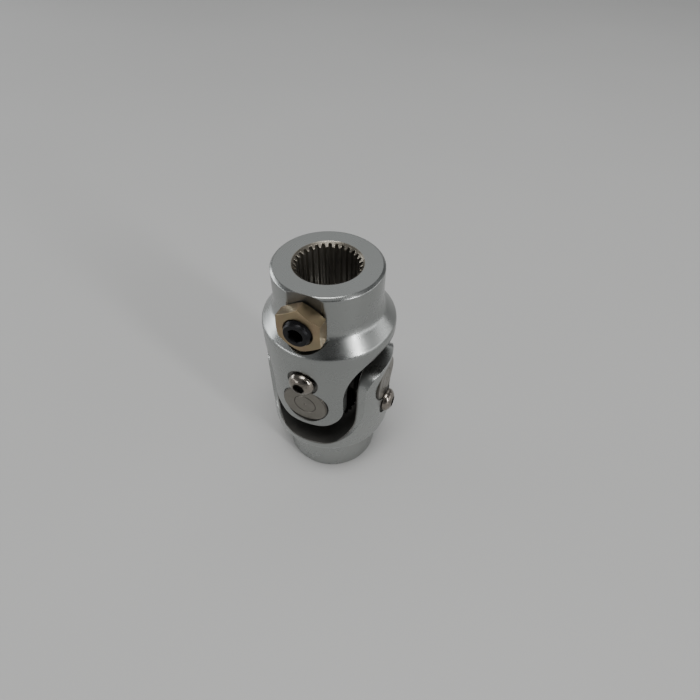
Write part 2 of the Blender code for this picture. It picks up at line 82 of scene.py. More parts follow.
# ---- sizes the boxes don't give, in millimetres ------------------------------------
HUB_R = 15.875                   # hub's outer radius
HUB_LEN = 12.8                   # straight part of the hub
SHOULDER = 5.4                   # height of the cone below the hub
HUB_EDGE = 0.8                   # chamfer at the hub's end
BORE_R = 9.525                   # to the roots of the spline
SPLINE = 0.8                     # depth of a tooth
TEETH = 30
EAR_W = 11.4                     # half the ear's width at the joint centre
EAR_TIP = 8.8                    # from the joint centre to the ear's tip
EAR_ROUND = 7.0
EAR_IN = 13.75                   # half the slot's width
FORK = 18.6                      # from the joint centre to the slot's floor
FORK_ROUND = 9.0                 # corner of the slot's floor
TRUNNION_R = 4.6
ARM_END = CUP_FACE - 2.78        # end of a trunnion
BLOCK_HALF = 8.0                 # half the cross's block across the shaft
BLOCK_HIGH = 6.6                 # half the cross's block along the shaft
SEAL_LOW, SEAL_HIGH = 11.33, 12.13
ROLLERS = 26                     # needles in a ring
ROLLER_SWELL = 0.30              # height of a needle above the sleeve
ROLLER_OUT, ROLLER_IN = 5.44, 5.00
ROLLER_LOW, ROLLER_HIGH = 12.7, CUP_FACE - 2.8
CUP_RING = 3.5                   # radius of the turned line on a cup
CUP_FLOOR = CUP_FACE - 1.5       # inner face of a cup's end wall
KEEPER_TALL = 2.9
KEEPER_SEAT = CUP_FACE + 0.28
KEEPER_SHANK = 2.0
KEEPER_PITCH = 0.79
KEEPER_HEX = 3.175
SPOT_R = 4.8                     # spotface under a keeper screw
SPOT_FACE = 19.1
PITCH = 1.411                    # set screw's thread
SCREW_HEX = 3.97
FLAT_R = 15.0                    # from the shaft's axis to the nut's seat
POCKET_GAP = 0.85                # room round the nut on its seat
FAR = 60.0                       # well outside the object


# ---- shapes as whole arrays ----------------------------------------------------

def round_corners(points, radii, steps=6):
    """Polyline with each corner eased by a quadratic curve.

    At a corner P with neighbours A and B the curve runs from P + e(A-P)/|A-P| to
    P + e(B-P)/|B-P| as (1-t)^2 S + 2t(1-t) P + t^2 E, where e is the corner's radius.
    """
    out = []
    count = len(points)
    t = np.linspace(0.0, 1.0, steps + 1)[:, None]
    for i, radius in enumerate(radii):
        here = np.array(points[i], float)
        if radius <= 0:
            out.append(here[None])
            continue
        before = np.array(points[(i - 1) % count], float) - here
        after = np.array(points[(i + 1) % count], float) - here
        start = here + before * radius / np.linalg.norm(before)
        end = here + after * radius / np.linalg.norm(after)
        out.append((1 - t) ** 2 * start + 2 * t * (1 - t) * here + t ** 2 * end)
    return np.vstack(out)


def arc(cx, cy, radius, start, end, steps):
    """Points (cx + r cos a, cy + r sin a) for a from start to end."""
    a = np.linspace(start, end, steps + 1)
    return np.stack([cx + radius * np.cos(a), cy + radius * np.sin(a)], 1)


def circle(radius, steps):
    """Closed ring of points at a radius."""
    return arc(0, 0, radius, 0, 2 * np.pi, steps)[:-1]


def turned(profile, steps):
    """Surface of revolution about Z: (r cos u, r sin u, z) over profile and u.

    Returns points and faces.  A closed profile gives a ring; ends on the axis
    become poles fanned with triangles.
    """
    profile = np.asarray(profile, float)
    poles = profile[0, 0] < 1e-9
    rows = profile[1:-1] if poles else profile
    u = np.linspace(0, 2 * np.pi, steps, endpoint=False)
    grid = np.stack([rows[:, :1] * np.cos(u), rows[:, :1] * np.sin(u),
                     np.repeat(rows[:, 1:], steps, 1)], 2).reshape(-1, 3)
    count = len(rows)
    i = np.arange(count - 1 if poles else count)[:, None]
    j = np.arange(steps)[None]
    nxt = (i + 1) % count
    quads = np.stack([i * steps + j, i * steps + (j + 1) % steps,
                      nxt * steps + (j + 1) % steps, nxt * steps + j], 2).reshape(-1, 4)
    faces = [quads]
    if poles:
        grid = np.vstack([grid, [[0, 0, profile[0, 1]], [0, 0, profile[-1, 1]]]])
        j = np.arange(steps)
        top = np.full(steps, count * steps)
        last = (count - 1) * steps
        faces.append(np.stack([top, (j + 1) % steps, j], 1))
        faces.append(np.stack([top + 1, last + j, last + (j + 1) % steps], 1))
    return grid, faces


def prism(outline, low, high):
    """A flat outline (x, y) carried straight from z = low to z = high, both ends closed."""
    outline = np.asarray(outline, float)
    n = len(outline)
    ring = np.arange(n)
    points = np.vstack([np.c_[outline, np.full(n, low)], np.c_[outline, np.full(n, high)]])
    walls = np.stack([ring, (ring + 1) % n, (ring + 1) % n + n, ring + n], 1)
    return points, [walls, ring[::-1][None], (ring + n)[None]]


def threaded(radius, low, high, pitch, depth, steps=48, per_turn=12, lead=0.8):
    """Screw thread: r(u, z) = radius - depth * tri((z - pitch u / 2 pi) / pitch).

    tri is 0 on the narrow crest and 1 in the root; the depth grows by a further
    chamfer of `lead` towards both ends, and both ends are flat.
    """
    rows = max(8, int((high - low) / pitch * per_turn))
    z = np.linspace(low, high, rows + 1)[:, None]
    u = np.linspace(0, 2 * np.pi, steps, endpoint=False)[None]
    phase = (z / pitch - u / (2 * np.pi)) % 1.0
    tri = np.clip(np.abs(phase - 0.5) * 2.3 - 0.1, 0.0, 1.0)
    ease = np.clip(1 - (high - z) / lead, 0, 1) + np.clip(1 - (z - low) / lead, 0, 1)
    r = np.minimum(radius - depth * tri, radius - 0.75 * lead * ease)
    grid = np.stack([r * np.cos(u), r * np.sin(u), z + 0 * u], 2).reshape(-1, 3)
    i = np.arange(rows)[:, None]
    j = np.arange(steps)[None]
    quads = np.stack([i * steps + j, i * steps + (j + 1) % steps,
                      (i + 1) * steps + (j + 1) % steps, (i + 1) * steps + j], 2).reshape(-1, 4)
    ring = np.arange(steps)
    return grid, [quads, ring[::-1][None], (ring + rows * steps)[None]]


def hexagon(flats, start=0.0):
    """Six corners at radius flats / sqrt 3."""
    a = start + np.arange(6) * np.pi / 3
    return np.stack([np.cos(a), np.sin(a)], 1) * flats / math.sqrt(3)


def frame_of(x, y, z, origin=(0, 0, 0)):
    """4x4 matrix whose columns are the given axes and origin."""
    m = np.eye(4)
    m[:3, 0] = x
    m[:3, 1] = y
    m[:3, 2] = z
    m[:3, 3] = origin
    return m


UPRIGHT = np.eye(4)
ALONG_Y = frame_of((1, 0, 0), (0, 0, 1), (0, -1, 0))          # local z points to -Y
ALONG_X = frame_of((0, 1, 0), (0, 0, 1), (1, 0, 0))           # local z points to +X
UPPER = frame_of((1, 0, 0), (0, 1, 0), (0, 0, 1), (0, 0, JOINT))
LOWER = frame_of((0, 1, 0), (1, 0, 0), (0, 0, -1), (0, 0, JOINT))


def radial(side, lift=0.0):
    """Frame with z along side * Y and y up the shaft, lifted along the shaft."""
    return frame_of((-side, 0, 0), (0, 0, 1), (0, side, 0), (0, 0, lift))


# ---- meshes --------------------------------------------------------------------

def volume(points, groups):
    """Signed volume: the sum of a . (b x c) / 6 over every face's fan of triangles."""
    total = 0.0
    for g in groups:
        for k in range(1, g.shape[1] - 1):
            a, b, c = points[g[:, 0]], points[g[:, k]], points[g[:, k + 1]]
            total += np.sum(a * np.cross(b, c)) / 6
    return total


def mesh_object(name, shape, place=UPRIGHT):
    """An object at the origin whose mesh is a shape in millimetres, put in place."""
    points, groups = shape
    points = (np.c_[points, np.ones(len(points))] @ place.T)[:, :3] * MM
    flip = volume(points, groups) < 0
    faces = [f[::-1].tolist() if flip else f.tolist() for g in groups for f in g]
    mesh = bpy.data.meshes.new(name)
    mesh.from_pydata(points.tolist(), [], faces)
    mesh.update()
    obj = bpy.data.objects.new(name, mesh)
    bpy.context.scene.collection.objects.link(obj)
    return obj


def combine(obj, shape, place=UPRIGHT, operation="DIFFERENCE"):
    """Cut, join or keep by another shape, at once."""
    tool = mesh_object("tool", shape, place)
    mod = obj.modifiers.new("cut", "BOOLEAN")
    mod.operation = operation
    mod.solver = "EXACT"
    mod.object = tool
    settle(obj)
    bpy.data.objects.remove(tool, do_unlink=True)


def settle(obj):
    """Bake an object's modifiers into its mesh."""
    graph = bpy.context.evaluated_depsgraph_get()
    graph.update()
    mesh = bpy.data.meshes.new_from_object(obj.evaluated_get(graph))
    obj.modifiers.clear()
    old = obj.data
    obj.data = mesh
    bpy.data.meshes.remove(old)
    mesh.name = obj.name


def shade(obj, crease=0.5, axis=None, centre=(0, 0, 0)):
    """Smooth shading with creases kept; turned faces get the exact round normal.

    Large faces lead the corner normals.  About an axis through the centre, a
    normal that is within 5 degrees of the plane holding the axis and its own
    point is laid into that plane, which takes the facets out of the reflections.
    """
    obj.data.shade_smooth()
    obj.data.set_sharp_from_angle(angle=crease)
    weigh = obj.modifiers.new("large faces lead", "WEIGHTED_NORMAL")
    weigh.mode = "FACE_AREA"
    weigh.keep_sharp = True
    weigh.weight = 80
    settle(obj)
    if axis is None:
        return obj
    mesh = obj.data
    normals = np.zeros(len(mesh.loops) * 3)
    mesh.corner_normals.foreach_get("vector", normals)
    normals = normals.reshape(-1, 3)
    which = np.zeros(len(mesh.loops), int)
    mesh.loops.foreach_get("vertex_index", which)
    points = np.zeros(len(mesh.vertices) * 3)
    mesh.vertices.foreach_get("co", points)
    axis = np.array(axis, float)
    arm = points.reshape(-1, 3)[which] - np.array(centre) * MM
    arm -= (arm @ axis)[:, None] * axis
    arm /= np.maximum(np.linalg.norm(arm, axis=1), 1e-9)[:, None]
    across = np.cross(axis, arm)
    lean = np.sum(normals * across, 1)
    near = np.abs(lean) < 0.087
    normals[near] -= lean[near, None] * across[near]
    normals /= np.linalg.norm(normals, axis=1)[:, None]
    mesh.normals_split_custom_set(normals.tolist())
    return obj


# ---- shader wiring ---------------------------------------------------------------

RAMP_SPAN = 20.0                 # millimetres that a distance ramp covers


class Value:
    """A shader socket that adds Math nodes when it is used in a sum."""

    def __init__(self, bench, socket):
        self.bench = bench
        self.socket = socket

    def _math(self, operation, a, b):
        outs = self.bench.node("ShaderNodeMath", {"operation": operation}, {0: a, 1: b})
        return outs["Value"]

    def __add__(self, other):
        return self._math("ADD", self, other)

    def __radd__(self, other):
        return self._math("ADD", other, self)

    def __sub__(self, other):
        return self._math("SUBTRACT", self, other)

    def __rsub__(self, other):
        return self._math("SUBTRACT", other, self)

    def __mul__(self, other):
        return self._math("MULTIPLY", self, other)

    def __rmul__(self, other):
        return self._math("MULTIPLY", other, self)

    def __truediv__(self, other):
        return self._math("DIVIDE", self, other)

    def root(self):
        """Square root."""
        return self._math("SQRT", self, 0.0)

    def most(self, other):
        """The larger of two."""
        return self._math("MAXIMUM", self, other)


class Finish:
    """One material and the single way of adding a node to it."""

    def __init__(self, name):
        self.material = bpy.data.materials.new(name)
        self.material.use_nodes = True
        self.tree = self.material.node_tree
        self.shader = self.tree.nodes["Principled BSDF"]

    def node(self, kind, settings=None, inputs=None):
        """Add a node, set its settings first and then its sockets; returns its outputs."""
        made = self.tree.nodes.new(kind)
        for key, value in (settings or {}).items():
            if key == "stops":
                self._stops(made.color_ramp, value)
            else:
                setattr(made, key, value)
        for key, value in (inputs or {}).items():
            self.feed(made.inputs[key], value)
        return {out.name: Value(self, out) for out in made.outputs if out.enabled}

    def feed(self, socket, value):
        """Link a value to a socket, or set a plain number or colour on it."""
        if isinstance(value, Value):
            self.tree.links.new(value.socket, socket)
        elif isinstance(value, tuple) and socket.type == "RGBA":
            socket.default_value = (*value, 1.0)
        else:
            socket.default_value = value

    @staticmethod
    def _stops(ramp, stops):
        while len(ramp.elements) < len(stops):
            ramp.elements.new(0.5)
        for element, (place, level) in zip(ramp.elements, stops):
            element.position = place
            element.color = (level, level, level, 1.0)

    def set(self, **sockets):
        """Feed Principled sockets by name, underscores for spaces."""
        for key, value in sockets.items():
            self.feed(self.shader.inputs[key.replace("_", " ")], value)
        return self.material

    def blend(self, mask, low, high):
        """Colour mix from low to high by a mask."""
        return self.node("ShaderNodeMix", {"data_type": "RGBA"},
                         {0: mask, 6: low, 7: high})["Result"]

    def ramp(self, value, *stops):
        """Value through a grey ramp of (place, level) stops."""
        return self.node("ShaderNodeValToRGB", {"stops": stops}, {"Fac": value})["Color"]

    def within(self, distance, full, none):
        """Mask that is 1 up to `full` millimetres and falls to 0 at `none`."""
        return self.ramp(distance / RAMP_SPAN, (full / RAMP_SPAN, 1.0), (none / RAMP_SPAN, 0.0))

    def noise(self, vector, scale, detail=3.0, rough=0.55):
        """Fractal noise, 0 to 1 about one half."""
        return self.node("ShaderNodeTexNoise", {"noise_dimensions": "3D"},
                         {"Vector": vector, "Scale": scale, "Detail": detail,
                          "Roughness": rough})["Fac"]

    def object_point(self):
        """Object coordinates and their x, y and z."""
        point = self.node("ShaderNodeTexCoord")["Object"]
        parts = self.node("ShaderNodeSeparateXYZ", None, {"Vector": point})
        return point, parts["X"], parts["Y"], parts["Z"]

    def vector(self, x, y, z):
        """Join three numbers."""
        return self.node("ShaderNodeCombineXYZ", None, {"X": x, "Y": y, "Z": z})["Vector"]

    def eased(self, width):
        """Normal rounded over the edges by a width in millimetres."""
        return self.node("ShaderNodeBevel", {"samples": 6}, {"Radius": width * MM})["Normal"]

    def bump(self, height, depth, normal):
        """Bump of a height field scaled to a depth in millimetres."""
        return self.node("ShaderNodeBump", None,
                         {"Height": height, "Distance": depth * MM, "Strength": 1.0,
                          "Normal": normal})["Normal"]


def lathe_lines(work, about, centre):
    """Fine circumferential tool lines about a world axis, and the radius from it.

    The noise is read at (r + 1.3 h, a / 40, b / 40), where r is the distance from
    the axis, h the distance along it and a, b the two crosswise coordinates.
    """
    point, x, y, z = work.object_point()
    if about == "Z":
        a, b, h = x, y, z
    elif about == "Y":
        a, b, h = x, z - centre, y
    else:
        a, b, h = y, z - centre, x
    r = (a * a + b * b).root()
    spun = work.vector(r + h * 1.3, a * 0.025, b * 0.025)
    return point, r, work.noise(spun, 5200.0, 4.0, 0.6), work.noise(spun, 1500.0, 2.0, 0.5)


def chromed_steel(name, tint, across, way):
    """Polished and plated steel: lathe lines under the plating, smudges and wipe marks.

    `across` is the axis through the ears and `way` is 1 with the hub up, -1 with it
    down.  Painted shade makes the bore darker towards its depth, where it also turns
    browner, and darkens the walls of the holes round the cups, the spotfaces round the
    screw heads, the seat under the nut and the walls of the fork slot.  With p = (|across| -
    EAR_IN + FORK_ROUND, height - FORK + FORK_ROUND) from the joint centre, the
    distance outside the slot's rounded outline is |max(p, 0)| - FORK_ROUND.
    distance outside the slot's rounded outline is |max(p, 0)| - FORK_ROUND.
    """
    work = Finish(name)
    point, r, fine, broad = lathe_lines(work, "Z", 0.0)
    _, x, y, z = work.object_point()
    out, beside = (y, x) if across == "Y" else (x, y)
    out, beside, radius = out * M, beside * M, r * M
    lift = (z - JOINT * MM) * (M * way)
    side = (out * out).root()
    past = (side - (EAR_IN - FORK_ROUND)).most(0.0)
    high = (lift - (FORK - FORK_ROUND)).most(0.0)
    # Painted shade on the walls and floor of the fork slot.
    slot = work.within((past * past + high * high).root() - FORK_ROUND, 0.12, 0.75)
    # Painted shade down the bore, growing towards its depth.
    deep = work.ramp((JOINT - lift) / 10.0, (0.06, 0.0), (0.22, 1.0))
    bore = work.within(radius, 9.55, 9.85) * deep
    mouth = work.within(radius, 10.0, 10.1)
    above = lift - KEEPER_UP
    # Painted shade in the spotface round a keeper screw head.
    head = work.within((beside * beside + above * above).root(), 4.55, 4.95)
    # Painted shade on the wall of the hole round each cup.
    ring = work.within((beside * beside + lift * lift).root(), 7.46, 7.56)
    # Painted shade on the seat under the jam nut.
    facet = work.ramp((out * -1.0 - (FLAT_R - 1.0)) / 2.0,
                      (0.44, 0.0), (0.49, 1.0), (0.52, 1.0), (0.56, 0.0))
    facet = facet * work.within(radius, 15.72, 15.84)
    cloud = work.noise(point, 55.0, 3.0, 0.55)
    smudge = work.ramp(work.noise(point, 130.0, 5.0, 0.62), (0.38, 0.0), (0.68, 1.0))
    speck = work.ramp(work.noise(point, 2600.0, 2.0, 0.5), (0.70, 0.0), (0.80, 1.0))
    colour = work.blend(cloud, tint, tuple(c * 0.90 for c in tint))
    colour = work.blend(smudge * 0.22, colour, (0.33, 0.335, 0.32))
    colour = work.blend(speck * 0.20, colour, (0.22, 0.21, 0.19))
    colour = work.blend(mouth * 0.55, colour, (0.36, 0.300, 0.215))
    # Painted shade down the bore, darker and browner than the plating.
    colour = work.blend(bore * 0.85, colour, (0.290, 0.275, 0.248))
    # Painted shade: the slot walls, the holes round the cups, the spotfaces and the nut's seat
    # go dark grey.
    grime_and_shade = slot.most(head).most(ring).most(facet * 0.9)
    colour = work.blend(grime_and_shade * 0.92, colour, (0.120, 0.116, 0.108))
    rough = 0.26 + smudge * 0.05 + (fine - 0.5) * 0.05 + speck * 0.05 + grime_and_shade.most(bore) * 0.16
    tooth = fine * 0.6 + broad * 0.4
    normal = work.bump(tooth, 0.0010, work.eased(0.32))
    normal = work.bump(cloud, 0.0180, normal)
    return work.set(Base_Color=colour, Metallic=1.0, Roughness=rough, Normal=normal)


def satin_cup(name, about):
    """Heat-tinted bearing cup: faced end with fine rings, brown-grey with painted shade on the
    rim.
    """
    work = Finish(name)
    point, r, fine, broad = lathe_lines(work, about, JOINT * MM)
    cloud = work.noise(point, 260.0, 4.0, 0.6)
    rim = work.ramp(r * M / CUP_R, (0.93, 0.0), (0.98, 1.0))
    line = work.ramp(r * M / 10.0, (0.326, 0.0), (0.34, 1.0), (0.36, 1.0), (0.374, 0.0))
    colour = work.blend(cloud, (0.240, 0.226, 0.200), (0.160, 0.151, 0.133))
    # Painted shade on the rim and in the turned ring line.
    colour = work.blend(rim.most(line) * 0.62, colour, (0.050, 0.046, 0.041))
    rough = 0.40 + (fine - 0.5) * 0.16 + (cloud - 0.5) * 0.14
    normal = work.bump(fine * 0.5 + broad * 0.5, 0.0050, work.eased(0.12))
    return work.set(Base_Color=colour, Metallic=1.0, Roughness=rough, Normal=normal)


def bright_screw(name, about, way):
    """Plated button-head screw: bright crown, dirt in patches, painted shade in the socket.

    The socket is found by the distance from the screw's axis, which lies along
    `about`, KEEPER_UP from the joint centre towards `way`.
    """
    work = Finish(name)
    point, x, y, z = work.object_point()
    beside = (x if about == "Y" else y) * M
    above = (z - JOINT * MM) * M - KEEPER_UP * way
    # Painted shade in the hex socket, found by its distance from the axis.
    socket = work.within((beside * beside + above * above).root(), 1.65, 2.0)
    cloud = work.noise(point, 420.0, 4.0, 0.6)
    grime_and_shade = work.ramp(cloud, (0.50, 0.0), (0.66, 1.0))
    colour = work.blend(grime_and_shade * 0.8, (0.265, 0.240, 0.212), (0.060, 0.052, 0.046))
    # Painted shade in the hex socket.
    colour = work.blend(socket * 0.92, colour, (0.020, 0.018, 0.016))
    rough = 0.19 + grime_and_shade * 0.20 + socket * 0.15 + (work.noise(point, 3000.0) - 0.5) * 0.08
    normal = work.bump(work.noise(point, 1100.0, 3.0), 0.0180, work.eased(0.12))
    return work.set(Base_Color=colour, Metallic=1.0, Roughness=rough, Normal=normal)


def black_oxide(name):
    """Black oxide steel: near black with an oily sheen and rubbed brown edges."""
    work = Finish(name)
    point, _, _, _ = work.object_point()
    cloud = work.noise(point, 350.0, 4.0, 0.6)
    rubbed = work.ramp(work.noise(point, 900.0, 4.0, 0.65), (0.56, 0.0), (0.74, 1.0))
    colour = work.blend(cloud, (0.010, 0.010, 0.011), (0.020, 0.020, 0.022))
    colour = work.blend(rubbed * 0.25, colour, (0.06, 0.052, 0.045))
    rough = 0.34 + (cloud - 0.5) * 0.20 + rubbed * 0.08
    normal = work.bump(work.noise(point, 2200.0, 3.0), 0.0080, work.eased(0.10))
    return work.set(Base_Color=colour, Metallic=0.85, Roughness=rough, Normal=normal)


def yellow_zinc(name):
    """Yellow zinc plate: gold drifting to olive and pink, dull in patches."""
    work = Finish(name)
    point, _, _, _ = work.object_point()
    drift = work.ramp(work.noise(point, 150.0, 3.0, 0.5), (0.32, 0.0), (0.68, 1.0))
    patch = work.ramp(work.noise(point, 320.0, 4.0, 0.6), (0.45, 0.0), (0.70, 1.0))
    colour = work.blend(drift, (0.33, 0.255, 0.155), (0.25, 0.210, 0.132))
    colour = work.blend(patch * 0.6, colour, (0.28, 0.200, 0.140))
    rough = 0.33 + patch * 0.14 + (work.noise(point, 2400.0) - 0.5) * 0.10
    normal = work.bump(work.noise(point, 1500.0, 3.0), 0.0070, work.eased(0.16))
    return work.set(Base_Color=colour, Metallic=1.0, Roughness=rough, Normal=normal)


def forged_black(name):
    """Dark forged steel with scale."""
    work = Finish(name)
    point, _, _, _ = work.object_point()
    cloud = work.noise(point, 300.0, 5.0, 0.65)
    colour = work.blend(cloud, (0.030, 0.029, 0.028), (0.085, 0.080, 0.075))
    rough = 0.46 + (cloud - 0.5) * 0.30
    normal = work.bump(work.noise(point, 900.0, 5.0, 0.65), 0.0300, work.eased(0.30))
    return work.set(Base_Color=colour, Metallic=0.7, Roughness=rough, Normal=normal)


def ground_steel(name, about):
    """Ground bearing steel with fine grinding lines round the trunnion."""
    work = Finish(name)
    point, _, fine, broad = lathe_lines(work, about, JOINT * MM)
    cloud = work.noise(point, 240.0, 3.0)
    colour = work.blend(cloud, (0.55, 0.545, 0.535), (0.43, 0.42, 0.41))
    rough = 0.22 + (fine - 0.5) * 0.12
    normal = work.bump(fine * 0.6 + broad * 0.4, 0.0030, work.eased(0.08))
    return work.set(Base_Color=colour, Metallic=1.0, Roughness=rough, Normal=normal)


def seal_rubber(name):
    """Greasy black rubber."""
    work = Finish(name)
    point, _, _, _ = work.object_point()
    cloud = work.noise(point, 500.0, 4.0)
    colour = work.blend(cloud, (0.012, 0.012, 0.012), (0.030, 0.028, 0.026))
    rough = 0.58 + (cloud - 0.5) * 0.30
    normal = work.bump(work.noise(point, 2000.0, 4.0), 0.0150, work.eased(0.15))
    return work.set(Base_Color=colour, Metallic=0.0, Roughness=rough, Normal=normal)


def moulded_pad(name):
    """Cream moulded plastic with a faint grain."""
    work = Finish(name)
    point, _, _, _ = work.object_point()
    cloud = work.noise(point, 400.0, 3.0)
    colour = work.blend(cloud, (0.62, 0.58, 0.45), (0.70, 0.66, 0.53))
    rough = 0.48 + (cloud - 0.5) * 0.16
    normal = work.bump(work.noise(point, 2600.0, 3.0), 0.0060, work.eased(0.08))
    return work.set(Base_Color=colour, Metallic=0.0, Roughness=rough, Normal=normal)


# ---- yoke ------------------------------------------------------------------------

def yoke_profile():
    """(r, z) outline of the turned blank, going up the outside and down the bore side."""
    edge = JOINT - HUB_LEN - SHOULDER
    base = JOINT - HUB_LEN
    low = -EAR_TIP - 3
    inner = BORE_R - 2 * SPLINE
    points = [(BODY_R, low), (BODY_R, edge), (HUB_R, base), (HUB_R, JOINT - HUB_EDGE),
              (HUB_R - HUB_EDGE, JOINT), (inner, JOINT), (inner, low)]
    return round_corners(points, [0, 0.75, 1.7, 0.22, 0.22, 0, 0], 10)


def ear_outline():
    """Ears seen along Y: rounded tip, straight flank, quarter-ellipse flare to the body."""
    tip = arc(EAR_W - EAR_ROUND, EAR_ROUND - EAR_TIP, EAR_ROUND, -np.pi / 2, 0, 28)
    a = np.linspace(0, np.pi / 2, 48)
    flare = np.stack([EAR_W + (BODY_R + 1.4 - EAR_W) * (1 - np.cos(a)),
                      3 + (FORK - 3.2) * np.sin(a)], 1)
    right = np.vstack([tip, flare, [[FAR, FORK - 0.2], [FAR, FAR]]])
    return np.vstack([right, right[::-1] * [-1, 1]])


def fork_outline():
    """Slot seen along X: straight sides and a floor with large corner rounds."""
    side = arc(EAR_IN - FORK_ROUND, FORK - FORK_ROUND, FORK_ROUND, 0, np.pi / 2, 32)
    right = np.vstack([[[EAR_IN, -FAR]], side])
    return np.vstack([right, right[::-1] * [-1, 1]])


def spline_outline():
    """Involute-like teeth: each pitch has a root land, a flank, a tip land, a flank."""
    share = np.array([0.02, 0.20, 0.38, 0.46, 0.54, 0.60, 0.74, 0.88, 0.94])
    deep = np.array([0.0, 0.0, 0.0, 0.18, 0.72, 1.0, 1.0, 1.0, 0.60])
    a = (np.arange(TEETH)[:, None] + share[None]) * 2 * np.pi / TEETH
    r = BORE_R - SPLINE * deep[None] + 0 * a
    return np.stack([r * np.cos(a), r * np.sin(a)], 2).reshape(-1, 2)


def yoke(name, place):
    """A yoke: turned blank, kept to the ear outline, slotted, splined and drilled."""
    obj = mesh_object(name, turned(yoke_profile(), 192))
    combine(obj, prism(ear_outline(), -FAR, FAR), ALONG_Y, "INTERSECT")
    combine(obj, prism(fork_outline(), -FAR, FAR), ALONG_X)
    combine(obj, prism(spline_outline(), FORK - FORK_ROUND, FAR))
    mouth = [(0, JOINT - 1.8), (BORE_R - 1.3, JOINT - 1.8), (BORE_R + 0.5, JOINT),
             (BORE_R + 0.5, JOINT + 1), (0, JOINT + 1)]
    combine(obj, turned(mouth, 192))
    combine(obj, prism(circle(CUP_BORE, 128), -FAR, FAR), ALONG_Y)
    for side in (-1, 1):
        screw = radial(side, KEEPER_UP)
        combine(obj, prism(circle(SPOT_R, 96), SPOT_FACE, FAR), screw)
        combine(obj, prism(circle(KEEPER_SHANK + 0.2, 48), 7, FAR), screw)
    clamp = radial(-1, SCREW_UP)
    pocket = NUT_AF / math.sqrt(3) + POCKET_GAP
    flat = np.vstack([arc(0, 0, pocket, np.pi, 2 * np.pi, 48), [[pocket, FAR], [-pocket, FAR]]])
    combine(obj, prism(flat, FLAT_R, FAR), clamp)
    combine(obj, prism(circle(SCREW_R + 0.1, 64), 0, FAR), clamp)
    carry(obj, place)
    return shade(obj, 0.45, (0, 0, 1))


def carry(obj, place):
    """Move a mesh by a frame in millimetres, keeping the object at the origin."""
    m = place.copy()
    m[:3, 3] *= MM
    points = np.zeros(len(obj.data.vertices) * 3)
    obj.data.vertices.foreach_get("co", points)
    points = np.c_[points.reshape(-1, 3), np.ones(len(obj.data.vertices))] @ m.T
    obj.data.vertices.foreach_set("co", points[:, :3].ravel())
    if np.linalg.det(m[:3, :3]) < 0:
        obj.data.flip_normals()
    obj.data.update()


# ---- bearing and fastener pieces ---------------------------------------------------

def cup(name, place, axis):
    """Bearing cup: faced end with a turned ring line and a centre dot, eased rim."""
    dot = [(0, CUP_FACE - 0.30), (0.18, CUP_FACE - 0.24), (0.42, CUP_FACE - 0.02),
           (0.60, CUP_FACE)]
    ring = [(CUP_RING - 0.24, CUP_FACE), (CUP_RING - 0.12, CUP_FACE - 0.10),
            (CUP_RING, CUP_FACE - 0.17), (CUP_RING + 0.12, CUP_FACE - 0.10),
            (CUP_RING + 0.24, CUP_FACE)]
    inner = CUP_R - 1.2
    rim = round_corners([(CUP_RING + 0.4, CUP_FACE), (CUP_R, CUP_FACE), (CUP_R, CUP_OPEN),
                         (inner, CUP_OPEN), (inner, CUP_FLOOR)], [0, 0.5, 0.25, 0.2, 0], 8)
    profile = np.vstack([dot, ring, rim, [[0, CUP_FLOOR]]])
    obj = mesh_object(name, turned(profile, 128), place)
    return shade(obj, 0.45, axis, (0, 0, JOINT))


def keeper(name, place):
    """Button-head screw: elliptical crown, hex socket, threaded shank."""
    a = np.linspace(np.pi / 2, 0.0, 28)[1:]
    rim = KEEPER_SEAT + 0.42
    top = KEEPER_SEAT + KEEPER_TALL
    crown = np.stack([KEEPER_R * np.cos(a), rim + (top - rim) * np.sin(a)], 1)
    neck = KEEPER_SEAT - 0.5
    under = [(KEEPER_R, rim), (KEEPER_R, KEEPER_SEAT), (KEEPER_SHANK, KEEPER_SEAT)]
    under = round_corners(under, [0, 0.15, 0], 4)[1:]
    profile = np.vstack([[[0, top]], crown, under, [[KEEPER_SHANK, neck], [0, neck]]])
    obj = mesh_object(name, turned(profile, 96), place)
    shank = threaded(KEEPER_SHANK, KEEPER_SEAT - 4.4, KEEPER_SEAT + 0.3, KEEPER_PITCH, 0.28,
                     40, 10, 0.4)
    combine(obj, shank, place, "UNION")
    combine(obj, prism(hexagon(KEEPER_HEX), top - 1.55, FAR), place)
    lead = [(0, top - 1.3), (1.6, top - 0.42), (2.15, top + 0.05), (2.15, top + 1),
            (0, top + 1)]
    combine(obj, turned(lead, 64), place)
    return shade(obj, 0.6)


def set_screw(name, place):
    """Socket set screw with a rolled thread, chamfered ends and a cup point."""
    shank = threaded(SCREW_R, SCREW_IN, SCREW_OUT, PITCH, 0.62, 72, 14, 0.7)
    obj = mesh_object(name, shank, place)
    combine(obj, prism(hexagon(SCREW_HEX, np.pi / 6), SCREW_OUT - 4, FAR), place)
    lead = [(0, SCREW_OUT - 1.6), (1.98, SCREW_OUT - 0.32), (2.32, SCREW_OUT), (2.32, FAR),
            (0, FAR)]
    combine(obj, turned(lead, 72), place)
    point = [(0, SCREW_IN + 1.0), (2.1, SCREW_IN), (2.1, SCREW_IN - 2), (0, SCREW_IN - 2)]
    combine(obj, turned(point, 72), place)
    return shade(obj, 0.6)


